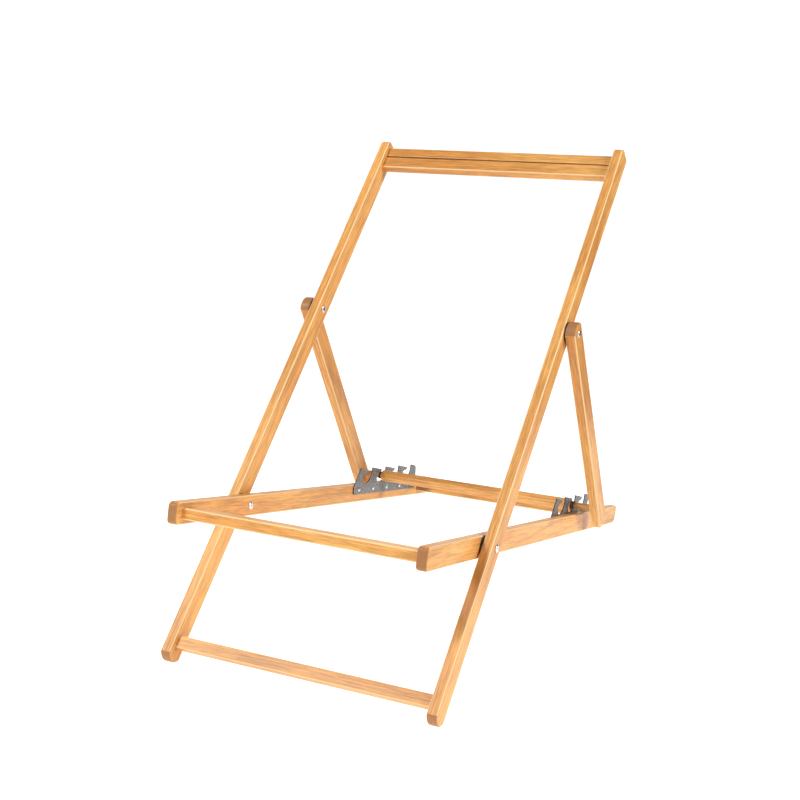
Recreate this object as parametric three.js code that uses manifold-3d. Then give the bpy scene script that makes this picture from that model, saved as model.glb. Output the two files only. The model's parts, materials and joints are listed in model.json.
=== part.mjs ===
// A folding deck chair frame in acacia: a long back frame, a seat frame inside it and a prop frame
// outside it.  The props' support bar drops into one of four notches in two steel plates.
// Millimetres, +X across the chair, -Y towards the feet of the person sitting, +Z up.
// Every wooden frame is drawn in its own flat frame: Y along the rail, Z square to it.

import * as THREE from 'three';
import * as BufferGeometryUtils from 'three/addons/utils/BufferGeometryUtils.js';
import Module from 'manifold-3d';

const wasm = await Module();
wasm.setup();

// Stock sizes
const RAIL_DEPTH = 41;          // rail section seen from the side
const RAIL_THICKNESS = 20;      // rail section across the chair
const RAIL_EDGE = 3;            // rounding of the long edges
const END_ARCH = 24.5;          // radius of the arc across a rail's round end
const SEAT_GAP = 4.5;           // air between the seat frame and the back frame
const PROP_GAP = 2.4;           // air between the back frame and the prop frame
const PROP_THICKNESS = 21;
const BAR_ROUND = 3.5;          // rounding of a cross bar's edges
const CLEAR = 0.3;              // gap between pieces that touch

// Across the chair, from the middle outwards
const BACK_OUTER = 276;
const BACK_INNER = BACK_OUTER - RAIL_THICKNESS;
const SEAT_OUTER = BACK_INNER - SEAT_GAP;
const SEAT_INNER = SEAT_OUTER - RAIL_THICKNESS;
const PROP_INNER = BACK_OUTER + PROP_GAP;
const PROP_OUTER = PROP_INNER + PROP_THICKNESS;

// Angles above the floor, in radians
const BACK_ANGLE = THREE.MathUtils.degToRad(42.9);
const SEAT_ANGLE = THREE.MathUtils.degToRad(-14.638);

// Back frame, measured along the rail from the seat pivot
const BACK_FOOT = -333.5;
const BACK_TOP = 922.5;
const TOP_REAR_ROUND = 5;
const TOP_FRONT_ROUND = 12;
const PROP_PIVOT = 469;         // distance from the seat pivot to the prop pivot
const TOP_BAR_AT = 881.5;
const TOP_BAR_HEIGHT = 55;
const TOP_BAR_THICKNESS = 19;
const SLING_SLOT_AT = 883.5;
const SLING_SLOT_WIDTH = 4;
const SLING_SLOT_DEPTH = 10;
const STRETCHER_AT = -296;
const STRETCHER_HEIGHT = 24;
const STRETCHER_THICKNESS = 20;

// Seat frame, measured along the rail from the same pivot
const SEAT_FRONT = -246.5;
const SEAT_REAR = 870;
const SEAT_ROUNDS = [9, 22, 5, 10];   // front low, rear low, rear top, front top
const SEAT_SPLAY = 0.0031;      // how far each rail leans outwards per mm towards the rear
const FRONT_BAR_AT = -214;
const REAR_BAR_AT = 801;
const SEAT_BAR_WIDTH = 32;
const SEAT_BAR_HEIGHT = 21;

// Prop frame
const PROP_TOP = 21;            // beyond the prop pivot
const PROP_FOOT = 39.5;         // beyond the support bar
const PROP_FOOT_ROUND = 4;
const SUPPORT_SIZE = 22;
const SUPPORT_ROUND = 7;
const DOWEL_RADIUS = 7;
const DOWEL_SOCKET = 13.5;      // how deep the dowel sits in the prop
const BUSH_RADIUS = 8.2;
const BUSH_LENGTH = 7;

// Notch plates, along the seat rail; heights are from the rail's middle line
const NOTCH_PITCH = 71.4;
const NOTCH_COUNT = 4;
const NOTCH_USED = 2;           // counted from the front
const NOTCH_AT = 575;           // the used notch
const DOWEL_AT = 574.5;         // middle of the dowel in the used notch
const DOWEL_HEIGHT = 36.6;
const PLATE_THICKNESS = 2.2;
const PLATE_BOTTOM = -2;
const PLATE_TOP = 57.2;
const HOOK_TIP = 51.4;          // top corner of a tooth's hooked tip
const PLATE_FRONT = 433.5;
const PLATE_REAR = 768.5;
const SCREW_FIRST = 459.3;
const SCREW_PITCH = 72.1;
const SCREW_COUNT = 5;
const SCREW_HEIGHT = 8.5;

// Fasteners
const BOLT_RADIUS = 3;
const BOLT_TIP = 6;             // from the inner face to the bolt's tip
const SLEEVE_RADIUS = 4;
const SLEEVE_BLIND = 3;         // from the inner face to the closed end of its bore
const SLEEVE_END = 12;          // from the outer face to the sleeve's open end
const HEAD_RADIUS = 7;
const HEAD_HEIGHT = 2.4;
const PIVOT_HOLE = SLEEVE_RADIUS + CLEAR;
const HEX_RADIUS = 2.6;
const HEX_DEPTH = 1.5;
const SCREW_RADIUS = 1.8;
const SCREW_LENGTH = 15;
const SCREW_HEAD_RADIUS = 4.5;
const SCREW_HEAD_HEIGHT = 2.2;
const RECESS_WIDTH = 1;
const RECESS_DEPTH = 1.1;
const SPACER_RADIUS = 20.3;

const TENON_LENGTH = 12;
const TENON_SHOULDER = 5;       // set in from the bar's faces

// The origin is on the floor under the middle of the chair.
const CHAIR_MIDDLE = 297.53;     // from the seat pivot to the middle of the chair's length
const HALF_DEPTH = RAIL_DEPTH / 2;
const PIVOT_Z = END_ARCH - (BACK_FOOT + END_ARCH) * Math.sin(BACK_ANGLE);
const SIDES = [['left', -1], ['right', 1]];

function along(angle, distance, height = 0) {
  const c = Math.cos(angle);
  const s = Math.sin(angle);
  return new THREE.Vector2(distance * c - height * s, distance * s + height * c);
}

const seatPivot = new THREE.Vector2(-CHAIR_MIDDLE, PIVOT_Z);
const propPivot = seatPivot.clone().add(along(BACK_ANGLE, PROP_PIVOT));
const dowelCentre = seatPivot.clone().add(along(SEAT_ANGLE, DOWEL_AT, DOWEL_HEIGHT));
const propVector = dowelCentre.clone().sub(propPivot);
const PROP_ANGLE = Math.atan2(propVector.y, propVector.x);
const PROP_LENGTH = propVector.length();

// ---- solids --------------------------------------------------------------------------------

function toSolid(geometry) {
  const bare = geometry.clone();
  bare.deleteAttribute('normal');
  bare.deleteAttribute('uv');
  const merged = BufferGeometryUtils.mergeVertices(bare, 1e-4);
  return new wasm.Manifold(new wasm.Mesh({
    numProp: 3,
    vertProperties: new Float32Array(merged.attributes.position.array),
    triVerts: new Uint32Array(merged.index.array),
  }));
}

function toGeometry(solid) {
  const mesh = solid.getMesh();
  const geometry = new THREE.BufferGeometry();
  geometry.setAttribute('position', new THREE.BufferAttribute(mesh.vertProperties, 3));
  geometry.setIndex(new THREE.BufferAttribute(mesh.triVerts, 1));
  geometry.computeVertexNormals();
  return geometry;
}

function join(base, pieces) {
  return toGeometry(pieces.reduce((solid, piece) => solid.add(toSolid(piece)), toSolid(base)));
}

function cut(base, tools) {
  return toGeometry(tools.reduce((solid, tool) => solid.subtract(toSolid(tool)), toSolid(base)));
}

// A rectangle with its own radius at each corner: [low-low, high-low, high-high, low-high].
function roundedRectangle(y0, y1, z0, z1, [a, b, c, d]) {
  const shape = new THREE.Shape();
  shape.moveTo(y0 + a, z0);
  shape.lineTo(y1 - b, z0);
  shape.absarc(y1 - b, z0 + b, b, -Math.PI / 2, 0, false);
  shape.lineTo(y1, z1 - c);
  shape.absarc(y1 - c, z1 - c, c, 0, Math.PI / 2, false);
  shape.lineTo(y0 + d, z1);
  shape.absarc(y0 + d, z1 - d, d, Math.PI / 2, Math.PI, false);
  shape.lineTo(y0, z0 + a);
  shape.absarc(y0 + a, z0 + a, a, Math.PI, 1.5 * Math.PI, false);
  return shape;
}

// A rail whose low end is an arc that meets its two faces in creases.  The high end has one
// radius at the low face and another at the high face.
function archedOutline(y0, y1, lowRound, highRound) {
  const centre = y0 + END_ARCH;
  const lean = Math.asin(HALF_DEPTH / END_ARCH);
  const crease = centre - END_ARCH * Math.cos(lean);
  const shape = new THREE.Shape();
  shape.moveTo(crease, -HALF_DEPTH);
  shape.lineTo(y1 - lowRound, -HALF_DEPTH);
  shape.absarc(y1 - lowRound, lowRound - HALF_DEPTH, lowRound, -Math.PI / 2, 0, false);
  shape.lineTo(y1, HALF_DEPTH - highRound);
  shape.absarc(y1 - highRound, HALF_DEPTH - highRound, highRound, 0, Math.PI / 2, false);
  shape.lineTo(crease, HALF_DEPTH);
  shape.absarc(centre, 0, END_ARCH, Math.PI - lean, Math.PI + lean, false);
  return shape;
}

// Extrudes an outline drawn in (Y, Z) from x0 to x1, with its rim rounded by edge.
function extrudeAcross(shape, x0, x1, edge = 0, arcSteps = 6) {
  const geometry = new THREE.ExtrudeGeometry(shape, {
    depth: x1 - x0 - 2 * edge,
    curveSegments: arcSteps,
    bevelEnabled: edge > 0,
    bevelThickness: edge,
    bevelSize: edge,
    bevelOffset: -edge,
    bevelSegments: 3,
  });
  geometry.translate(0, 0, x0 + edge);
  geometry.applyMatrix4(new THREE.Matrix4().makeBasis(
    new THREE.Vector3(0, 1, 0),
    new THREE.Vector3(0, 0, 1),
    new THREE.Vector3(1, 0, 0),
  ));
  return geometry;
}

function block(x0, x1, y0, y1, z0, z1) {
  const geometry = new THREE.BoxGeometry(x1 - x0, y1 - y0, z1 - z0);
  geometry.translate((x0 + x1) / 2, (y0 + y1) / 2, (z0 + z1) / 2);
  return geometry;
}

// A cylinder lying along X.
function rod(x0, x1, y, z, radius, steps = 24) {
  const geometry = new THREE.CylinderGeometry(radius, radius, x1 - x0, steps);
  geometry.rotateZ(-Math.PI / 2);
  geometry.translate((x0 + x1) / 2, y, z);
  return geometry;
}

// A turned piece: the profile lists [radius, x], and the right side is the one drawn.
function turned(profile, side, y, z, steps = 24) {
  const points = profile.map(([radius, x]) => new THREE.Vector2(radius, x));
  const geometry = new THREE.LatheGeometry(points, steps);
  geometry.rotateZ(-Math.PI / 2);
  if (side < 0) geometry.rotateZ(Math.PI);
  geometry.translate(0, y, z);
  return geometry;
}

// The seat rails are not quite parallel: this leans a piece outwards as it runs to the rear.
function splay(side, geometry) {
  return geometry.applyMatrix4(new THREE.Matrix4().set(
    1, side * SEAT_SPLAY, 0, 0,
    0, 1, 0, 0,
    0, 0, 1, 0,
    0, 0, 0, 1,
  ));
}

function sideways(side, inner, outer) {
  return side > 0 ? [inner, outer] : [-outer, -inner];
}

// ---- materials -----------------------------------------------------------------------------

function acacia(colour) {
  return new THREE.MeshStandardMaterial({ color: colour, roughness: 0.45, metalness: 0 });
}

function zinc() {
  return new THREE.MeshStandardMaterial({ color: 0xc9ced6, roughness: 0.25, metalness: 1 });
}

function hammeredSteel() {
  return new THREE.MeshStandardMaterial({ color: 0x6d6b68, roughness: 0.6, metalness: 0.5 });
}

function nylon() {
  return new THREE.MeshStandardMaterial({ color: 0x151413, roughness: 0.6, metalness: 0 });
}

const RAIL_COLOUR = 0xd99a55;
const BAR_COLOUR = 0xd2924f;

function addMesh(group, name, geometry, material) {
  const mesh = new THREE.Mesh(geometry, material);
  mesh.name = name;
  group.add(mesh);
}

// ---- shared joinery ------------------------------------------------------------------------

// A bar between two rails, with a stub tenon on each end.
function crossBar(inner, y, z, width, height, round) {
  const half = inner - CLEAR;
  const outline = roundedRectangle(
    y - width / 2, y + width / 2, z - height / 2, z + height / 2, [round, round, round, round],
  );
  const reach = inner + TENON_LENGTH;
  const tenon = block(
    -reach, reach,
    y - width / 2 + TENON_SHOULDER, y + width / 2 - TENON_SHOULDER,
    z - height / 2 + TENON_SHOULDER, z + height / 2 - TENON_SHOULDER,
  );
  return join(extrudeAcross(outline, -half, half), [tenon]);
}

// The pocket that such a tenon sits in, open to the rail's inner face.
function mortise(side, inner, y, z, width, height) {
  const slack = CLEAR - TENON_SHOULDER;
  const [x0, x1] = sideways(side, inner - 1, inner + TENON_LENGTH + CLEAR);
  return block(
    x0, x1,
    y - width / 2 - slack, y + width / 2 + slack,
    z - height / 2 - slack, z + height / 2 + slack,
  );
}

function hexRecess(x0, x1, y, z) {
  return rod(x0, x1, y, z, HEX_RADIUS, 6);
}

// A bolt whose domed head sits on the outer face and whose shank ends in the sleeve.
function pivotBolt(side, outer, tip, y, z) {
  const seat = outer + CLEAR;
  const body = turned([
    [0, tip],
    [BOLT_RADIUS, tip],
    [BOLT_RADIUS, seat],
    [HEAD_RADIUS, seat],
    [HEAD_RADIUS, seat + 0.4 * HEAD_HEIGHT],
    [0.86 * HEAD_RADIUS, seat + 0.8 * HEAD_HEIGHT],
    [0.6 * HEAD_RADIUS, seat + HEAD_HEIGHT],
    [0, seat + HEAD_HEIGHT],
  ], side, y, z);
  const top = seat + HEAD_HEIGHT;
  const [x0, x1] = sideways(side, top - HEX_DEPTH, top + 1);
  return cut(body, [hexRecess(x0, x1, y, z)]);
}

// The sleeve nut: a domed head on the inner face and a tube that the bolt screws into.
function sleeveNut(side, inner, end, y, z) {
  const seat = inner - CLEAR;
  const top = seat - HEAD_HEIGHT;
  const body = turned([
    [0, top],
    [0.6 * HEAD_RADIUS, top],
    [0.86 * HEAD_RADIUS, seat - 0.8 * HEAD_HEIGHT],
    [HEAD_RADIUS, seat - 0.4 * HEAD_HEIGHT],
    [HEAD_RADIUS, seat],
    [SLEEVE_RADIUS, seat],
    [SLEEVE_RADIUS, end],
    [BOLT_RADIUS + CLEAR, end],
    [BOLT_RADIUS + CLEAR, inner + SLEEVE_BLIND],
    [0, inner + SLEEVE_BLIND],
  ], side, y, z);
  const [x0, x1] = sideways(side, top - 1, top + HEX_DEPTH);
  return cut(body, [hexRecess(x0, x1, y, z)]);
}

function ring(side, x0, x1, hole, radius, y, z) {
  return turned([[hole, x0], [radius, x0], [radius, x1], [hole, x1], [hole, x0]], side, y, z);
}

// The ring that keeps two frames apart on a pivot.
function spacer(side, inner, gap, y, z) {
  const hole = SLEEVE_RADIUS + 2 * CLEAR;
  return ring(side, inner + CLEAR, inner + gap - CLEAR, hole, SPACER_RADIUS, y, z);
}

// The bolt, nut and spacer of one pivot.  The layout gives the inner frame's two faces, the
// gap beyond it and the outer frame's outer face.
function addPivot(group, name, sideName, side, { inner, middle, gap, outer }, y) {
  const tip = inner + BOLT_TIP;
  const sleeveEnd = outer - SLEEVE_END;
  addMesh(group, `${name}_bolt_${sideName}`, pivotBolt(side, outer, tip, y, 0), zinc());
  addMesh(group, `${name}_nut_${sideName}`, sleeveNut(side, inner, sleeveEnd, y, 0), zinc());
  addMesh(group, `${name}_spacer_${sideName}`, spacer(side, middle, gap, y, 0), nylon());
}

// ---- back frame ----------------------------------------------------------------------------

function backRail(side) {
  const [x0, x1] = sideways(side, BACK_INNER, BACK_OUTER);
  const outline = archedOutline(BACK_FOOT, BACK_TOP, TOP_REAR_ROUND, TOP_FRONT_ROUND);
  return cut(extrudeAcross(outline, x0, x1, RAIL_EDGE), [
    rod(x0 - 1, x1 + 1, 0, 0, PIVOT_HOLE),
    rod(x0 - 1, x1 + 1, PROP_PIVOT, 0, PIVOT_HOLE),
    mortise(side, BACK_INNER, TOP_BAR_AT, 0, TOP_BAR_HEIGHT, TOP_BAR_THICKNESS),
    mortise(side, BACK_INNER, STRETCHER_AT, 0, STRETCHER_HEIGHT, STRETCHER_THICKNESS),
  ]);
}

// The top bar has a slot along its front face, which the sling's hem is pushed into.
function topBar() {
  const front = TOP_BAR_THICKNESS / 2;
  const half = SLING_SLOT_WIDTH / 2;
  const bar = crossBar(BACK_INNER, TOP_BAR_AT, 0, TOP_BAR_HEIGHT, TOP_BAR_THICKNESS, 3);
  return cut(bar, [block(
    -BACK_INNER, BACK_INNER,
    SLING_SLOT_AT - half, SLING_SLOT_AT + half,
    front - SLING_SLOT_DEPTH, front + 1,
  )]);
}

function buildBackFrame() {
  const group = new THREE.Group();
  for (const [name, side] of SIDES) {
    addMesh(group, `back_rail_${name}`, backRail(side), acacia(RAIL_COLOUR));
    addPivot(group, 'prop_pivot', name, side, {
      inner: BACK_INNER, middle: BACK_OUTER, gap: PROP_GAP, outer: PROP_OUTER,
    }, PROP_PIVOT);
  }
  addMesh(group, 'top_bar', topBar(), acacia(BAR_COLOUR));
  const stretcher = crossBar(
    BACK_INNER, STRETCHER_AT, 0, STRETCHER_HEIGHT, STRETCHER_THICKNESS, BAR_ROUND,
  );
  addMesh(group, 'foot_stretcher', stretcher, acacia(BAR_COLOUR));
  return group;
}

// ---- seat frame ----------------------------------------------------------------------------

function screwPlaces() {
  return Array.from({ length: SCREW_COUNT }, (_, i) => SCREW_FIRST + i * SCREW_PITCH);
}

function seatRail(side) {
  const [x0, x1] = sideways(side, SEAT_INNER, SEAT_OUTER);
  const outline = roundedRectangle(
    SEAT_FRONT, SEAT_REAR, -HALF_DEPTH, HALF_DEPTH, SEAT_ROUNDS,
  );
  const [s0, s1] = sideways(side, SEAT_INNER - 1, SEAT_INNER + SCREW_LENGTH);
  const pilots = screwPlaces().map(
    (y) => rod(s0, s1, y, SCREW_HEIGHT, SCREW_RADIUS + CLEAR, 12),
  );
  return cut(extrudeAcross(outline, x0, x1, RAIL_EDGE), [
    rod(x0 - 1, x1 + 1, 0, 0, PIVOT_HOLE),
    mortise(side, SEAT_INNER, FRONT_BAR_AT, 0, SEAT_BAR_WIDTH, SEAT_BAR_HEIGHT),
    mortise(side, SEAT_INNER, REAR_BAR_AT, 0, SEAT_BAR_WIDTH, SEAT_BAR_HEIGHT),
    ...pilots,
  ]);
}

// One notch, from the hook of the tooth in front of it to the top of the tooth behind it.
function drawNotch(shape, at) {
  shape.lineTo(at - 6, HOOK_TIP);
  shape.lineTo(at - 9, 45.5);
  shape.lineTo(at - 23, 43.5);
  shape.quadraticCurveTo(at - 29.5, 42, at - 29.5, 33);
  shape.bezierCurveTo(at - 29, 24, at - 20, 20.9, at - 12, 21);
  shape.bezierCurveTo(at - 2, 21.5, at + 12, 31, at + 15, 46);
  shape.lineTo(at + 15.6, PLATE_TOP - 2);
  shape.quadraticCurveTo(at + 15.8, PLATE_TOP, at + 17.8, PLATE_TOP - 0.2);
}

function notchPlate(side) {
  const shape = new THREE.Shape();
  shape.moveTo(PLATE_FRONT + 5, PLATE_BOTTOM);
  shape.quadraticCurveTo(PLATE_FRONT, PLATE_BOTTOM, PLATE_FRONT, PLATE_BOTTOM + 5);
  shape.lineTo(PLATE_FRONT, PLATE_BOTTOM + 17);
  shape.lineTo(PLATE_FRONT + 25.5, PLATE_TOP - 2);
  shape.quadraticCurveTo(PLATE_FRONT + 26.5, PLATE_TOP, PLATE_FRONT + 28.5, PLATE_TOP - 0.2);
  for (let i = 0; i < NOTCH_COUNT; i += 1) {
    drawNotch(shape, NOTCH_AT + (i + 1 - NOTCH_USED) * NOTCH_PITCH);
  }
  shape.lineTo(PLATE_REAR - 13, PLATE_TOP - 2.5);
  shape.quadraticCurveTo(PLATE_REAR - 4, PLATE_TOP - 5, PLATE_REAR - 4, PLATE_TOP - 14);
  shape.lineTo(PLATE_REAR, PLATE_BOTTOM + 10);
  shape.quadraticCurveTo(PLATE_REAR, PLATE_BOTTOM, PLATE_REAR - 9, PLATE_BOTTOM);
  const outer = SEAT_INNER - CLEAR;
  const [x0, x1] = sideways(side, outer - PLATE_THICKNESS, outer);
  return cut(extrudeAcross(shape, x0, x1), screwPlaces().map(
    (y) => rod(x0 - 1, x1 + 1, y, SCREW_HEIGHT, SCREW_RADIUS + CLEAR, 12),
  ));
}

// A pan-head wood screw with a cross recess, through the plate into the rail.
function plateScrew(side, y) {
  const seat = SEAT_INNER - 2 * CLEAR - PLATE_THICKNESS;
  const top = seat - SCREW_HEAD_HEIGHT;
  const tip = SEAT_INNER + SCREW_LENGTH - 1;
  const body = turned([
    [0, top],
    [0.6 * SCREW_HEAD_RADIUS, top + 0.15 * SCREW_HEAD_HEIGHT],
    [0.9 * SCREW_HEAD_RADIUS, top + 0.5 * SCREW_HEAD_HEIGHT],
    [SCREW_HEAD_RADIUS, seat],
    [SCREW_RADIUS, seat],
    [SCREW_RADIUS, tip - 4],
    [0, tip],
  ], side, y, SCREW_HEIGHT, 16);
  const arm = 0.55 * SCREW_HEAD_RADIUS;
  const half = RECESS_WIDTH / 2;
  const [x0, x1] = sideways(side, top - 1, top + RECESS_DEPTH);
  return cut(body, [
    block(x0, x1, y - arm, y + arm, SCREW_HEIGHT - half, SCREW_HEIGHT + half),
    block(x0, x1, y - half, y + half, SCREW_HEIGHT - arm, SCREW_HEIGHT + arm),
  ]);
}

function buildSeatFrame() {
  const group = new THREE.Group();
  for (const [name, side] of SIDES) {
    addMesh(group, `seat_rail_${name}`, splay(side, seatRail(side)), acacia(RAIL_COLOUR));
    addPivot(group, 'seat_pivot', name, side, {
      inner: SEAT_INNER, middle: SEAT_OUTER, gap: SEAT_GAP, outer: BACK_OUTER,
    }, 0);
    addMesh(group, `notch_plate_${name}`, splay(side, notchPlate(side)), hammeredSteel());
    screwPlaces().forEach((y, i) => {
      const screw = splay(side, plateScrew(side, y));
      addMesh(group, `plate_screw_${name}_${i + 1}`, screw, zinc());
    });
  }
  for (const [name, y] of [['seat_front_bar', FRONT_BAR_AT], ['seat_rear_bar', REAR_BAR_AT]]) {
    const inner = SEAT_INNER + SEAT_SPLAY * y;
    const bar = crossBar(inner, y, 0, SEAT_BAR_WIDTH, SEAT_BAR_HEIGHT, BAR_ROUND);
    addMesh(group, name, bar, acacia(BAR_COLOUR));
  }
  return group;
}

// ---- prop frame ----------------------------------------------------------------------------

function prop(side) {
  const [x0, x1] = sideways(side, PROP_INNER, PROP_OUTER);
  const outline = archedOutline(
    -PROP_TOP, PROP_LENGTH + PROP_FOOT, PROP_FOOT_ROUND, PROP_FOOT_ROUND,
  );
  const [d0, d1] = sideways(side, PROP_INNER - 1, PROP_INNER + DOWEL_SOCKET + CLEAR);
  return cut(extrudeAcross(outline, x0, x1, RAIL_EDGE), [
    rod(x0 - 1, x1 + 1, 0, 0, PIVOT_HOLE),
    rod(d0, d1, PROP_LENGTH, 0, DOWEL_RADIUS + CLEAR, 32),
  ]);
}

// The bar's shoulders stand just inside the notch plates.
const SHOULDER = SEAT_INNER + SEAT_SPLAY * DOWEL_AT - PLATE_THICKNESS - 4 * CLEAR;

function supportBar() {
  const half = SUPPORT_SIZE / 2;
  const reach = PROP_INNER + DOWEL_SOCKET;
  const r = SUPPORT_ROUND;
  const outline = roundedRectangle(
    PROP_LENGTH - half, PROP_LENGTH + half, -half, half, [r, r, r, r],
  );
  const dowel = rod(-reach, reach, PROP_LENGTH, 0, DOWEL_RADIUS, 32);
  return join(extrudeAcross(outline, -SHOULDER, SHOULDER), [dowel]);
}

// The ring round the dowel that rests in the steel notch.
function bush(side) {
  const x0 = SHOULDER + CLEAR;
  return ring(side, x0, x0 + BUSH_LENGTH, DOWEL_RADIUS + CLEAR, BUSH_RADIUS, PROP_LENGTH, 0);
}

function buildPropFrame() {
  const group = new THREE.Group();
  for (const [name, side] of SIDES) {
    addMesh(group, `prop_${name}`, prop(side), acacia(RAIL_COLOUR));
    addMesh(group, `support_bush_${name}`, bush(side), nylon());
  }
  addMesh(group, 'support_bar', supportBar(), acacia(BAR_COLOUR));
  return group;
}

// ---- the chair -----------------------------------------------------------------------------

const chair = new THREE.Group();

function place(frame, pivot, angle) {
  frame.position.set(0, pivot.x, pivot.y);
  frame.rotation.x = angle;
  chair.add(frame);
}

place(buildSeatFrame(), seatPivot, SEAT_ANGLE);
place(buildBackFrame(), seatPivot, BACK_ANGLE);
place(buildPropFrame(), propPivot, PROP_ANGLE);

export default chair;
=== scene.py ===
"""A folding deck chair frame in oiled acacia, on a white studio floor."""
import json
import math

import bmesh
import bpy
from mathutils import Matrix, Vector


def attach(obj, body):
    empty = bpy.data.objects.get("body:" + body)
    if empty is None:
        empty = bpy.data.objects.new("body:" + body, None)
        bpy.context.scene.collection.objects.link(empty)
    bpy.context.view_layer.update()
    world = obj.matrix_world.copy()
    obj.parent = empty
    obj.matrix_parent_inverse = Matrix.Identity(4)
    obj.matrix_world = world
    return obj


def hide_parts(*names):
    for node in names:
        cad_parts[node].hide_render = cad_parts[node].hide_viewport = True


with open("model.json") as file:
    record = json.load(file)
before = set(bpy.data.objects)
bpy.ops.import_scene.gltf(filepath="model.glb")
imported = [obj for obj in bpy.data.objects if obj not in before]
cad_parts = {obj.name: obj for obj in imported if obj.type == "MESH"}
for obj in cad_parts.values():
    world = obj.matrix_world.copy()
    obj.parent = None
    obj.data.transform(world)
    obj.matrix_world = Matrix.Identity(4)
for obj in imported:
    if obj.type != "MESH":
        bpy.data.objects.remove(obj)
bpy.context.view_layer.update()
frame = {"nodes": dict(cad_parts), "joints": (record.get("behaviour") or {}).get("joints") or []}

MM = 0.001
SIDES = (("left", -1), ("right", 1))

# Across the chair, in millimetres from its middle
BACK_INNER, BACK_OUTER = 256, 276
SEAT_INNER, SEAT_OUTER = 231.5, 251.5
PROP_INNER, PROP_OUTER = 278.4, 299.4
JOINT_GAP = 0.2  # from a bar's end to the face of its rail
SEAT_SPLAY = 0.0031  # how far the seat rails part for each millimetre of their length

# Along the rails, in millimetres from the frame's own pivot
BACK_FOOT, BACK_HEAD = -333.5, 922.5
SEAT_FRONT, SEAT_REAR = -246.5, 870
PROP_HEAD = -21
PROP_PAST_BAR = 39.5
TOP_BAR_AT, SLOT_AT = 881.5, 883.5
FOOT_STRETCHER_AT = -296
SEAT_FRONT_BAR_AT, SEAT_REAR_BAR_AT = -214, 801
DOWEL_AT, DOWEL_HEIGHT = 574.5, 36.6  # the support bar, in the seat frame

# Sections, in millimetres: width along the rails, then height square to them
HALF_DEPTH = 20.5  # half the height of every rail
TOP_BAR_SIZE, TOP_BAR_ROUND = (55, 19), 3
FOOT_STRETCHER_SIZE = 24, 20
SEAT_BAR_SIZE = 32, 21
BAR_ROUND = 3.5
SUPPORT_SIZE, SUPPORT_ROUND = (22, 22), 7
DOWEL_RADIUS = 7
SLOT_WIDTH, SLOT_DEPTH, SLOT_LIP = 4, 10, 0.8

# Corners and ends, in millimetres
EDGE = 3.2  # how far a rail's side faces are eased
LEAST_RADIUS = 0.05
BACK_ROUNDS = 5, 12
SEAT_ROUNDS = 9, 22, 5, 10
PROP_ROUNDS = 4, 4
END_ARCH = 24.5
CREASE_LAND = 0.4  # strip beside an arched end where the colour turns to end grain
SHOULDER_GAP = 3.4  # from the seat rail's inner face to the support bar's shoulder
SHOULDER_EASE = 1.2
DOWEL_REACH = 2  # how far the dowel goes into the prop
PLATE_BEVEL = 0.4

CORNER_STEPS, EDGE_STEPS, LIP_STEPS, SHOULDER_STEPS = 8, 6, 4, 3
SHARP_ANGLE, BEVEL_ANGLE, FLAT_ANGLE = (math.radians(a) for a in (30, 50, 0.5))
WELD = 2e-6  # metres

BACK_ANGLE = math.radians(42.9)
SEAT_ANGLE = math.radians(-14.638)
SCREWS_PER_PLATE = 5

joints = {joint["name"]: joint for joint in frame["joints"]}
SEAT_PIVOT = Vector(joints["back_fold"]["pos_m"])
PROP_PIVOT = Vector(joints["prop_swing"]["pos_m"])


class Place:
    """A flat frame's axes: x across the chair, y along its rails, z square to them."""

    def __init__(self, origin, angle):
        self.matrix = Matrix.Translation(origin) @ Matrix.Rotation(angle, 4, "X")

    def point(self, x, y, z):
        return self.matrix @ Vector((x * MM, y * MM, z * MM))


back = Place(SEAT_PIVOT, BACK_ANGLE)
seat = Place(SEAT_PIVOT, SEAT_ANGLE)
dowel_centre = seat.point(0, DOWEL_AT, DOWEL_HEIGHT)
prop_line = dowel_centre - PROP_PIVOT
PROP_LENGTH = prop_line.length / MM
prop = Place(PROP_PIVOT, math.atan2(prop_line.z, prop_line.y))


# ---- meshes --------------------------------------------------------------------------

def arc(cy, cz, radius, start, steps, turn=90):
    """Points (y, z, normal y) round a corner, from start through turn degrees."""
    points = []
    for i in range(steps + 1):
        a = math.radians(start + turn * i / steps)
        cos, sin = math.cos(a), math.sin(a)
        points.append((cy + radius * cos, cz + radius * sin, cos))
    return points


def rounded(y0, y1, z0, z1, radii, inset=0.0):
    """A rectangle drawn inset from its edge.  Each corner has its own radius, from
    (y0, z0) round by way of (y1, z0)."""
    y0, y1, z0, z1 = y0 + inset, y1 - inset, z0 + inset, z1 - inset
    a, b, c, d = (max(r - inset, LEAST_RADIUS) for r in radii)
    return (
        arc(y0 + a, z0 + a, a, 180, CORNER_STEPS)
        + arc(y1 - b, z0 + b, b, 270, CORNER_STEPS)
        + arc(y1 - c, z1 - c, c, 0, CORNER_STEPS)
        + arc(y0 + d, z1 - d, d, 90, CORNER_STEPS)
    )


def section(y, size, radius, inset=0.0):
    """A bar's outline round the point y, with one radius at all four corners."""
    width, height = size
    return rounded(
        y - width / 2, y + width / 2, -height / 2, height / 2, [radius] * 4, inset
    )


def slotted(outline, height):
    """The outline with a slot in its front face, which has eased lips."""
    front = height / 2
    corner = len(outline) // 4 * 3
    low, high = SLOT_AT - SLOT_WIDTH / 2, SLOT_AT + SLOT_WIDTH / 2
    groove = (
        arc(high + SLOT_LIP, front - SLOT_LIP, SLOT_LIP, 90, LIP_STEPS)
        + [(high, front - SLOT_DEPTH, 0), (low, front - SLOT_DEPTH, 0)]
        + arc(low - SLOT_LIP, front - SLOT_LIP, SLOT_LIP, 0, LIP_STEPS)
    )
    return outline[:corner] + groove + outline[corner:]


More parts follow.
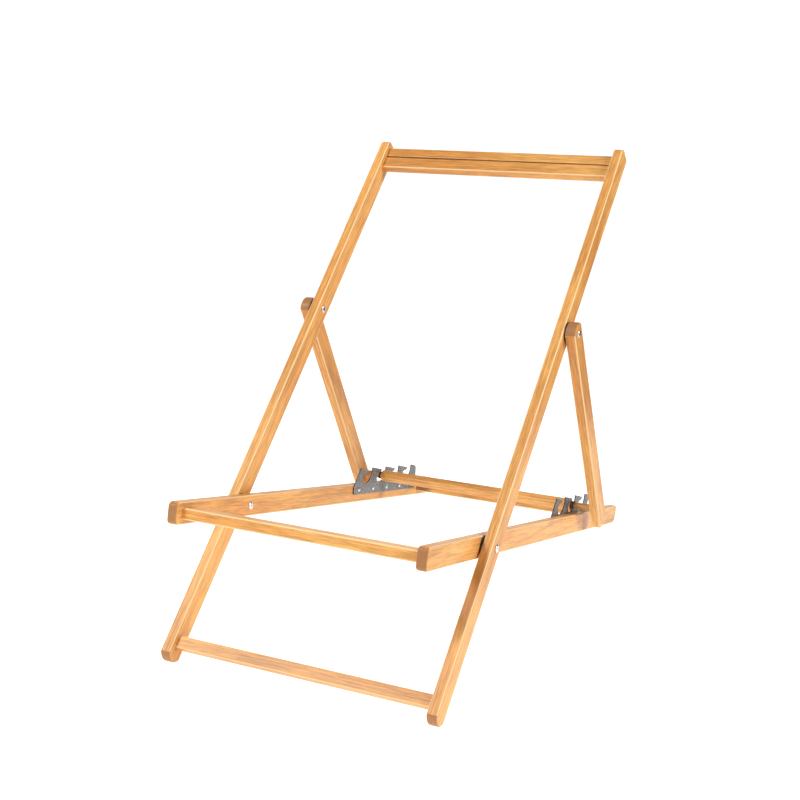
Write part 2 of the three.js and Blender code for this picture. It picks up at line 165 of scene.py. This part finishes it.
def arched(y0, y1, under_round, front_round, inset=0.0):
    """A rail whose y0 end is one arc, which meets the rail's two faces in creases."""
    radius, half, top = END_ARCH - inset, HALF_DEPTH - inset, y1 - inset
    centre = y0 + END_ARCH
    lean = math.degrees(math.asin(half / radius))
    crease = centre - radius * math.cos(math.radians(lean)) + CREASE_LAND
    b, c = (max(r - inset, LEAST_RADIUS) for r in (under_round, front_round))
    cap = arc(centre, 0, radius, 180 - lean, 2 * CORNER_STEPS, 2 * lean)
    return (
        [(crease, -half, 0)]
        + arc(top - b, b - half, b, 270, CORNER_STEPS)
        + arc(top - c, half - c, c, 0, CORNER_STEPS)
        + [(crease, half, 0)]
        + [(y, z, 1) for y, z, _ in cap]
    )


class Piece:
    """Collects rings of points into one mesh that remembers its grain."""

    def __init__(self, name, place, along, splay=0.0):
        self.name, self.place, self.along, self.splay = name, place, along, splay
        self.bm = bmesh.new()
        self.grain = self.bm.verts.layers.float_vector.new("grain")
        self.end = self.bm.verts.layers.float.new("end_grain_and_shade")
        self.edge_highlight = self.bm.verts.layers.float.new("edge_highlight")

    def ring(self, x, outline, end=None, edge_highlight=None):
        """One ring of points.  Without an end value, the points that face along the rail are
        end grain.  Without a highlight value, the outline's own corners get the painted
        edge highlight."""
        verts = []
        for y, z, lean in outline:
            vert = self.bm.verts.new(self.place.point(x + self.splay * y, y, z))
            # The middle axis of the grain runs along the board
            spot = (x, y, z) if self.along == "y" else (y, x, z)
            vert[self.grain] = Vector(spot) * MM
            vert[self.end] = abs(lean) if end is None else end
            # Painted highlight: strongest half way round each rounded corner
            corner = 2 * abs(lean) * math.sqrt(max(1 - lean * lean, 0))
            vert[self.edge_highlight] = corner if edge_highlight is None else edge_highlight
            verts.append(vert)
        return verts

    def skin(self, rings):
        """Joins the rings one after another and closes both ends."""
        for low, high in zip(rings, rings[1:]):
            for i in range(len(low)):
                j = (i + 1) % len(low)
                self.bm.faces.new((low[i], low[j], high[j], high[i]))
        self.bm.faces.new(list(reversed(rings[0])))
        self.bm.faces.new(rings[-1])

    def done(self, body, node, material):
        bmesh.ops.recalc_face_normals(self.bm, faces=self.bm.faces)
        mesh = bpy.data.meshes.new(self.name)
        self.bm.to_mesh(mesh)
        self.bm.free()
        return finish_piece(self.name, mesh, body, node, material)


def finish_piece(name, mesh, body, node, material):
    mesh.shade_smooth()
    mesh.set_sharp_from_angle(angle=SHARP_ANGLE)
    mesh.materials.append(material)
    piece = bpy.data.objects.new(name, mesh)
    bpy.context.scene.collection.objects.link(piece)
    weighted = piece.modifiers.new("weighted", "WEIGHTED_NORMAL")
    weighted.keep_sharp = True
    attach(piece, body)
    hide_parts(node)
    return piece


def rail(name, place, side, inner, outer, outline_at, body, material, splay=0.0):
    """A board with the outline outline_at(inset), eased at its two side faces."""
    x0, x1 = (inner, outer) if side > 0 else (-outer, -inner)
    piece = Piece(name + "_wood", place, "y", side * splay)
    rings = []
    for near in (True, False):
        for i in range(EDGE_STEPS + 1):
            turn = math.pi / 2 * (i / EDGE_STEPS if near else 1 - i / EDGE_STEPS)
            inset = EDGE * (1 - math.sin(turn))
            off = EDGE * (1 - math.cos(turn))
            outline = [(y, z, n * math.sin(turn)) for y, z, n in outline_at(inset)]
            x = x0 + off if near else x1 - off
            # The eased side edges get the painted highlight
            rings.append(piece.ring(x, outline, edge_highlight=math.sin(2 * turn)))
    piece.skin(rings)
    return piece.done(body, name, material)


def cross_bar(name, place, half, outline, body, material):
    """A bar from side to side, half its length on each side of the middle."""
    piece = Piece(name + "_wood", place, "x")
    piece.skin([piece.ring(x, outline, 0) for x in (-half, half)])
    return piece.done(body, name, material)


def support_bar(body, material):
    """A rounded square bar whose two ends are turned down to a dowel."""
    piece = Piece("support_bar_wood", prop, "x")
    shoulder = SEAT_INNER + SEAT_SPLAY * DOWEL_AT - SHOULDER_GAP
    reach = PROP_INNER + DOWEL_REACH
    dowel = section(PROP_LENGTH, (2 * DOWEL_RADIUS,) * 2, DOWEL_RADIUS)
    dowel_shade = 0.7  # painted shade: the dowels take much of the end-grain colour
    rings = []
    for side in (-1, 1):
        group = [(reach, dowel, dowel_shade), (shoulder, dowel, dowel_shade)]
        for i in range(SHOULDER_STEPS + 1):
            turn = math.pi / 2 * i / SHOULDER_STEPS
            inset = SHOULDER_EASE * (1 - math.sin(turn))
            group.append((
                shoulder - SHOULDER_EASE * (1 - math.cos(turn)),
                section(PROP_LENGTH, SUPPORT_SIZE, SUPPORT_ROUND, inset),
                math.cos(turn),
            ))
        if side > 0:
            group.reverse()
        rings += [piece.ring(side * x, outline, end, 0.0) for x, outline, end in group]
    piece.skin(rings)
    return piece.done(body, "support_bar", material)


def refine(node, body, material, bevel=0.0):
    """A cleaner copy of a metal or plastic CAD part: merged faces and eased edges."""
    source = frame["nodes"][node]
    bm = bmesh.new()
    bm.from_mesh(source.data)
    bmesh.ops.remove_doubles(bm, verts=bm.verts, dist=WELD)
    bmesh.ops.dissolve_limit(bm, angle_limit=FLAT_ANGLE, verts=bm.verts, edges=bm.edges)
    if bevel:
        sharp = [
            edge
            for edge in bm.edges
            if len(edge.link_faces) == 2 and edge.calc_face_angle() > BEVEL_ANGLE
        ]
        bmesh.ops.bevel(
            bm, geom=sharp, offset=bevel * MM, segments=2, affect="EDGES",
            clamp_overlap=True, profile=0.5,
        )
    mesh = bpy.data.meshes.new(node + "_fine")
    bm.to_mesh(mesh)
    bm.free()
    for layer in list(mesh.uv_layers):
        mesh.uv_layers.remove(layer)
    return finish_piece(node + "_fine", mesh, body, node, material)


# ---- materials -----------------------------------------------------------------------

class Nodes:
    """Short calls for building a node material."""

    def __init__(self, name):
        self.material = bpy.data.materials.new(name)
        self.material.use_nodes = True
        self.tree = self.material.node_tree
        self.shader = self.tree.nodes["Principled BSDF"]

    def add(self, kind, **props):
        made = self.tree.nodes.new(kind)
        for key, value in props.items():
            setattr(made, key, value)
        return made

    def put(self, socket, value):
        if isinstance(value, bpy.types.NodeSocket):
            self.tree.links.new(value, socket)
        else:
            socket.default_value = value

    def math(self, kind, a, b=0.0):
        made = self.add("ShaderNodeMath", operation=kind)
        self.put(made.inputs[0], a)
        self.put(made.inputs[1], b)
        return made.outputs[0]

    def vector(self, kind, a, b):
        made = self.add("ShaderNodeVectorMath", operation=kind)
        self.put(made.inputs[0], a)
        self.put(made.inputs[1], b)
        return made.outputs["Value" if kind == "LENGTH" else "Vector"]

    def attribute(self, name, output):
        return self.add("ShaderNodeAttribute", attribute_name=name).outputs[output]

    def noise(self, where, scale, detail, rough, warp=0.0):
        made = self.add("ShaderNodeTexNoise")
        self.put(made.inputs["Vector"], where)
        made.inputs["Scale"].default_value = scale
        made.inputs["Detail"].default_value = detail
        made.inputs["Roughness"].default_value = rough
        made.inputs["Distortion"].default_value = warp
        return made.outputs[0]

    def smooth(self, value, low, high, out_low=0.0, out_high=1.0):
        made = self.add("ShaderNodeMapRange", interpolation_type="SMOOTHSTEP")
        self.put(made.inputs["Value"], value)
        made.inputs["From Min"].default_value = low
        made.inputs["From Max"].default_value = high
        made.inputs["To Min"].default_value = out_low
        made.inputs["To Max"].default_value = out_high
        return made.outputs["Result"]

    def mix(self, factor, a, b, kind="MIX"):
        made = self.add("ShaderNodeMix", data_type="RGBA", blend_type=kind)
        self.put(made.inputs["Factor"], factor)
        # Sockets 6, 7 and output 2 are the mix node's colours
        self.put(made.inputs[6], a)
        self.put(made.inputs[7], b)
        return made.outputs[2]

    def grey(self, value):
        made = self.add("ShaderNodeCombineColor")
        for socket in made.inputs:
            self.put(socket, value)
        return made.outputs[0]

    def bump(self, height, strength, distance):
        made = self.add("ShaderNodeBump")
        self.put(made.inputs["Height"], height)
        made.inputs["Strength"].default_value = strength
        made.inputs["Distance"].default_value = distance
        self.put(self.shader.inputs["Normal"], made.outputs[0])


LIGHT_WOOD = (0.86, 0.435, 0.125, 1)
WARM_WOOD = (0.68, 0.288, 0.068, 1)
# The next colour is the painted highlight along eased edges
HIGHLIGHT_WOOD = (0.95, 0.68, 0.36, 1)
DARK_WOOD = (0.27, 0.10, 0.028, 1)
# The next colour is darker end grain, also used for painted shade on the dowels and the rear bar
END_AND_SHADE_WOOD = (0.33, 0.15, 0.065, 1)
# The next colour is painted shade mixed with darker wood, for the right back rail's front face
SHADED_RED_WOOD = (0.42, 0.155, 0.035, 1)
RINGS_PER_METRE = 150


def wood(name, seed, tone, streaks, marks=()):
    """Oiled acacia.  Its grain runs along the middle axis of the grain attribute.

    seed places the board in the tree, tone is its brightness, and streaks is how much
    dark streak it has.  marks lists darker places painted on the board, some painted
    shade and some darker wood: (where along it, half length, strength, front only)."""
    n = Nodes(name)
    spot = n.attribute("grain", "Vector")
    shift = Vector((0.37 * seed % 1.0, 1.7 * seed, 0.61 * seed % 1.0))
    moved = n.vector("ADD", spot, shift)

    # Growth rings round a pith that lies well outside the board
    slow = n.noise(n.vector("MULTIPLY", moved, (9, 1.3, 9)), 1.0, 3, 0.55)
    pith = (0.045 + 0.02 * math.sin(5.1 * seed), 0, 0.05 * math.cos(3.7 * seed))
    radial = n.vector("MULTIPLY", n.vector("SUBTRACT", spot, pith), (1, 0, 1))
    radius = n.vector("LENGTH", radial, (0, 0, 0))
    bent = n.math("ADD", radius, n.math("MULTIPLY", slow, 0.05))
    ring = n.math("FRACT", n.math("MULTIPLY", bent, RINGS_PER_METRE))
    late = n.math(
        "MULTIPLY", n.smooth(ring, 0.35, 0.95), n.smooth(ring, 0.95, 1.0, 1.0, 0.0)
    )

    fibre = n.noise(n.vector("MULTIPLY", moved, (620, 26, 620)), 1.0, 3, 0.6)
    lines = n.noise(n.vector("MULTIPLY", moved, (240, 8, 240)), 1.0, 3, 0.65, 0.2)
    streak = n.noise(n.vector("MULTIPLY", moved, (75, 1.8, 75)), 1.0, 3, 0.6, 0.3)
    broad = n.noise(n.vector("MULTIPLY", moved, (14, 3.2, 14)), 1.0, 2, 0.5)
    pores = n.noise(n.vector("MULTIPLY", moved, (1500, 55, 1500)), 1.0, 1, 0.5)
    pore = n.smooth(pores, 0.66, 0.74)

    colour = n.mix(n.smooth(broad, 0.3, 0.7), LIGHT_WOOD, WARM_WOOD)
    colour = n.mix(n.math("MULTIPLY", late, 0.2), colour, DARK_WOOD)
    dark = n.math("MULTIPLY", n.smooth(streak, 0.58, 0.82), 0.75 * streaks)
    colour = n.mix(dark, colour, DARK_WOOD)
    shade = n.math(
        "MULTIPLY",
        n.smooth(fibre, 0.3, 0.7, 0.74, 1.14),
        n.smooth(lines, 0.3, 0.65, 0.84, 1.06),
    )
    colour = n.mix(1.0, colour, n.grey(shade), "MULTIPLY")
    colour = n.mix(n.math("MULTIPLY", pore, 0.45), colour, DARK_WOOD)

    split = n.add("ShaderNodeSeparateXYZ")
    n.put(split.inputs[0], spot)
    # Marks darken stretches of the board: some are painted shade, some darker wood
    for at, half, strength, front_only in marks:
        off = n.math("ABSOLUTE", n.math("SUBTRACT", split.outputs[1], at * MM))
        ragged = n.math("MULTIPLY", n.math("SUBTRACT", streak, 0.5), 0.03)
        off = n.math("ADD", off, ragged)
        mark = n.smooth(off, 0.3 * half * MM, half * MM, strength, 0.0)
        # A front-only mark is painted shade: the seat rail's shadow on the back rail's front
        # face, with some darker wood
        if front_only:
            mark = n.math("MULTIPLY", mark, n.smooth(split.outputs[2], 0.014, 0.02))
        colour = n.mix(mark, colour, SHADED_RED_WOOD if front_only else END_AND_SHADE_WOOD)

    # End grain is darker; on the dowels this darkening is painted shade
    end = n.smooth(n.attribute("end_grain_and_shade", "Fac"), 0.35, 0.95)
    mottled = n.math("MULTIPLY", end, n.smooth(fibre, 0.3, 0.7, 0.6, 0.9))
    colour = n.mix(mottled, colour, END_AND_SHADE_WOOD)
    # Painted highlight: a paler stripe along the eased edges of the side faces, where a lamp's
    # reflection would run
    edge_highlight = n.smooth(n.attribute("edge_highlight", "Fac"), 0.2, 1.0, 0.0, 0.75)
    side_face = n.smooth(n.attribute("end_grain_and_shade", "Fac"), 0.1, 0.5, 1.0, 0.0)
    edge_highlight = n.math("MULTIPLY", edge_highlight, side_face)
    colour = n.mix(edge_highlight, colour, HIGHLIGHT_WOOD)
    colour = n.mix(1.0, colour, (tone, tone, tone, 1), "MULTIPLY")
    n.put(n.shader.inputs["Base Color"], colour)

    rough = n.smooth(fibre, 0.2, 0.8, 0.42, 0.56)
    rough = n.math("ADD", rough, n.math("MULTIPLY", end, 0.2))
    n.put(n.shader.inputs["Roughness"], rough)
    n.shader.inputs["IOR"].default_value = 1.33
    n.shader.inputs["Coat Weight"].default_value = 0.25
    n.shader.inputs["Coat Roughness"].default_value = 0.24
    n.shader.inputs["Coat IOR"].default_value = 1.4
    height = n.math("SUBTRACT", n.math("MULTIPLY", fibre, 0.5), pore)
    n.bump(height, 0.25, 0.0004)
    return n.material


def hammered_steel():
    """Speckled grey steel with fine dimples.  Its narrow edges carry painted shade."""
    n = Nodes("hammered_steel")
    spot = n.add("ShaderNodeTexCoord").outputs["Object"]
    cells = n.add("ShaderNodeTexVoronoi", feature="SMOOTH_F1")
    n.put(cells.inputs["Vector"], spot)
    cells.inputs["Scale"].default_value = 260
    fine = n.noise(spot, 900, 2, 0.6)
    broad = n.noise(spot, 60, 2, 0.5)
    speckle = n.smooth(n.math("ADD", cells.outputs["Distance"], fine), 0.55, 1.15)
    colour = n.mix(speckle, (0.075, 0.075, 0.075, 1), (0.25, 0.245, 0.24, 1))
    colour = n.mix(n.smooth(broad, 0.35, 0.7, 0, 0.35), colour, (0.15, 0.155, 0.17, 1))
    # Painted shade: the faces square to the plate, its narrow edges, are made nearly black
    split = n.add("ShaderNodeSeparateXYZ")
    n.put(split.inputs[0], n.add("ShaderNodeNewGeometry").outputs["Normal"])
    edge = n.smooth(n.math("ABSOLUTE", split.outputs[0]), 0.35, 0.9, 1.0, 0.0)
    colour = n.mix(edge, colour, (0.018, 0.022, 0.03, 1))
    n.put(n.shader.inputs["Base Color"], colour)
    n.shader.inputs["Metallic"].default_value = 0.35
    n.put(n.shader.inputs["Roughness"], n.smooth(fine, 0.2, 0.8, 0.38, 0.6))
    height = n.math("ADD", cells.outputs["Distance"], n.math("MULTIPLY", fine, 0.2))
    n.bump(height, 0.5, 0.0008)
    return n.material


def zinc():
    n = Nodes("bright_zinc")
    spot = n.add("ShaderNodeTexCoord").outputs["Object"]
    cloud = n.noise(spot, 350, 3, 0.6)
    fine = n.noise(spot, 2600, 1, 0.5)
    blue_grey, silver = (0.62, 0.66, 0.72, 1), (0.86, 0.87, 0.88, 1)
    colour = n.mix(n.smooth(cloud, 0.3, 0.7), blue_grey, silver)
    n.put(n.shader.inputs["Base Color"], colour)
    n.shader.inputs["Metallic"].default_value = 1.0
    n.put(n.shader.inputs["Roughness"], n.smooth(cloud, 0.2, 0.8, 0.2, 0.38))
    n.bump(fine, 0.08, 0.0002)
    return n.material


def black_nylon():
    n = Nodes("black_nylon")
    spot = n.add("ShaderNodeTexCoord").outputs["Object"]
    fine = n.noise(spot, 1400, 2, 0.5)
    colour = n.mix(fine, (0.008, 0.008, 0.008, 1), (0.02, 0.019, 0.018, 1))
    n.put(n.shader.inputs["Base Color"], colour)
    n.put(n.shader.inputs["Roughness"], n.smooth(fine, 0.2, 0.8, 0.45, 0.65))
    n.bump(fine, 0.1, 0.0002)
    return n.material


# ---- the chair -----------------------------------------------------------------------

for name, side in SIDES:
    right = side > 0
    rail(
        "back_rail_" + name, back, side, BACK_INNER, BACK_OUTER,
        lambda inset: arched(BACK_FOOT, BACK_HEAD, *BACK_ROUNDS, inset), "back_frame",
        wood(
            "back_rail_" + name, 3.1 if right else 8.4, 1.0, 0.35 if right else 0.5,
            # Painted shade with some darker wood: the seat rail's shadow below the crossing
            [(-92, 85, 0.75, True)] if right else [],
        ),
    )
    rail(
        "seat_rail_" + name, seat, side, SEAT_INNER, SEAT_OUTER,
        lambda inset: rounded(
            SEAT_FRONT, SEAT_REAR, -HALF_DEPTH, HALF_DEPTH, SEAT_ROUNDS, inset
        ),
        "seat_frame",
        wood(
            "seat_rail_" + name, 5.7 if right else 11.2, 1.0, 0.5,
            [(620, 26, 0.8, False)] if right else [],
        ),
        SEAT_SPLAY,
    )
    rail(
        "prop_" + name, prop, side, PROP_INNER, PROP_OUTER,
        lambda inset: arched(
            PROP_HEAD, PROP_LENGTH + PROP_PAST_BAR, *PROP_ROUNDS, inset
        ),
        "prop_frame", wood("prop_" + name, 7.9 if right else 2.6, 0.92, 0.45),
    )

cross_bar(
    "top_bar", back, BACK_INNER - JOINT_GAP,
    slotted(section(TOP_BAR_AT, TOP_BAR_SIZE, TOP_BAR_ROUND), TOP_BAR_SIZE[1]),
    "back_frame", wood("top_bar", 14.3, 0.97, 0.4),
)
cross_bar(
    "foot_stretcher", back, BACK_INNER - JOINT_GAP,
    section(FOOT_STRETCHER_AT, FOOT_STRETCHER_SIZE, BAR_ROUND),
    "back_frame", wood("foot_stretcher", 17.5, 0.97, 0.7),
)
for name, at, seed, tone, marks in (
    ("seat_front_bar", SEAT_FRONT_BAR_AT, 21.9, 1.08, []),
    # The rear bar's mark is painted shade: its left end lies in the support bar's shadow
    ("seat_rear_bar", SEAT_REAR_BAR_AT, 25.3, 0.95, [(-216, 34, 0.95, False)]),
):
    cross_bar(
        name, seat, SEAT_INNER + SEAT_SPLAY * at - JOINT_GAP,
        section(at, SEAT_BAR_SIZE, BAR_ROUND),
        "seat_frame", wood(name, seed, tone, 0.35, marks),
    )
support_bar("prop_frame", wood("support_bar", 28.8, 0.95, 0.4))

steel, bright, nylon = hammered_steel(), zinc(), black_nylon()
for name, _ in SIDES:
    refine("notch_plate_" + name, "seat_frame", steel, PLATE_BEVEL)
    refine("support_bush_" + name, "prop_frame", nylon)
    for i in range(1, SCREWS_PER_PLATE + 1):
        refine(f"plate_screw_{name}_{i}", "seat_frame", bright)
    for pivot, body in (("seat_pivot", "seat_frame"), ("prop_pivot", "back_frame")):
        refine(f"{pivot}_bolt_{name}", body, bright)
        refine(f"{pivot}_nut_{name}", body, bright)
        # The black spacers are real washers, and their black also stands in for painted shade in
        # the deep gaps between the rails
        refine(f"{pivot}_spacer_{name}", body, nylon)


# ---- studio --------------------------------------------------------------------------

def paper(name, grey):
    n = Nodes(name)
    n.shader.inputs["Base Color"].default_value = (grey, grey, grey, 1)
    n.shader.inputs["Roughness"].default_value = 0.9
    n.shader.inputs["Specular IOR Level"].default_value = 0.0
    return n


def glowing(name, grey, near, far, front):
    """Paper that glows less away from the chair, towards the front and high up."""
    n = paper(name, grey)
    n.shader.inputs["Emission Color"].default_value = (1, 1, 1, 1)
    spot = n.add("ShaderNodeTexCoord").outputs["Object"]
    split = n.add("ShaderNodeSeparateXYZ")
    n.put(split.inputs[0], spot)
    away = n.smooth(n.vector("LENGTH", spot, (0, 0, 0)), 0.5, 3.0, near, far)
    ahead = n.smooth(split.outputs[1], -3.2, -0.9, front, 1.0)
    above = n.smooth(split.outputs[2], 3.0, 7.0, 1.0, 0.3)
    glow = n.math("MULTIPLY", n.math("MULTIPLY", away, ahead), above)
    n.put(n.shader.inputs["Emission Strength"], glow)
    return n.material


def flag():
    """A dark upright panel that the camera can't see.  It stops the rails' sides from
    looking milky."""
    left, right, low, high = (0.3, 1.5), (2.2, 0.6), 0.02, 1.6
    corners = [(*left, low), (*right, low), (*right, high), (*left, high)]
    mesh = bpy.data.meshes.new("flag")
    mesh.from_pydata(corners, [], [(0, 1, 2, 3)])
    mesh.materials.append(paper("flag_grey", 0.05).material)
    made = bpy.data.objects.new("flag", mesh)
    made.visible_camera = False
    bpy.context.scene.collection.objects.link(made)


def backdrop():
    """A white floor with a white wall all round."""
    steps, radius, height = 64, 14, 9
    verts = [(0, 0, 0)]
    for level in (0, height):
        for i in range(steps):
            a = 2 * math.pi * i / steps
            verts.append((radius * math.cos(a), radius * math.sin(a), level))
    faces = []
    for i in range(steps):
        j = (i + 1) % steps
        faces.append((0, 1 + i, 1 + j))
        faces.append((1 + i, 1 + steps + i, 1 + steps + j, 1 + j))
    mesh = bpy.data.meshes.new("backdrop")
    mesh.from_pydata(verts, [], faces)
    mesh.materials.append(glowing("floor_white", 0.4, 1.15, 0.85, 0.6))
    mesh.materials.append(glowing("wall_white", 0.3, 0.95, 0.95, 0.6))
    for i, face in enumerate(mesh.polygons):
        face.material_index = i % 2  # floor and wall faces take turns
    made = bpy.data.objects.new("backdrop", mesh)
    bpy.context.scene.collection.objects.link(made)


def softbox(name, place, target, size, power):
    light = bpy.data.lights.new(name, "AREA")
    light.shape = "RECTANGLE"
    light.size = light.size_y = size
    light.energy = power
    made = bpy.data.objects.new(name, light)
    made.location = place
    aim = Vector(target) - Vector(place)
    made.rotation_euler = aim.to_track_quat("-Z", "Y").to_euler()
    bpy.context.scene.collection.objects.link(made)


def studio():
    world = bpy.data.worlds.new("studio")
    world.use_nodes = True
    sky = world.node_tree.nodes["Background"]
    sky.inputs["Color"].default_value = (1, 1, 1, 1)
    sky.inputs["Strength"].default_value = 0.2
    scene = bpy.context.scene
    scene.world = world
    scene.view_settings.view_transform = "Standard"
    softbox("key_right", (5.0, 0.5, 3.8), (0, 0, 0.4), 1.7, 220)
    softbox("front_left", (-1.9, -2.2, 3.4), (0, -0.3, 0.2), 1.3, 110)


def camera():
    data = bpy.data.cameras.new("camera")
    data.sensor_width = 36
    data.lens = 56.61
    data.shift_y = 0.0918
    data.clip_end = 200
    made = bpy.data.objects.new("camera", data)
    made.location = (1.0156, -2.2217, 1.0638)
    made.rotation_euler = [math.radians(a) for a in (71.448, -0.052, 25.77)]
    bpy.context.scene.collection.objects.link(made)
    bpy.context.scene.camera = made


backdrop()
flag()
studio()
camera()
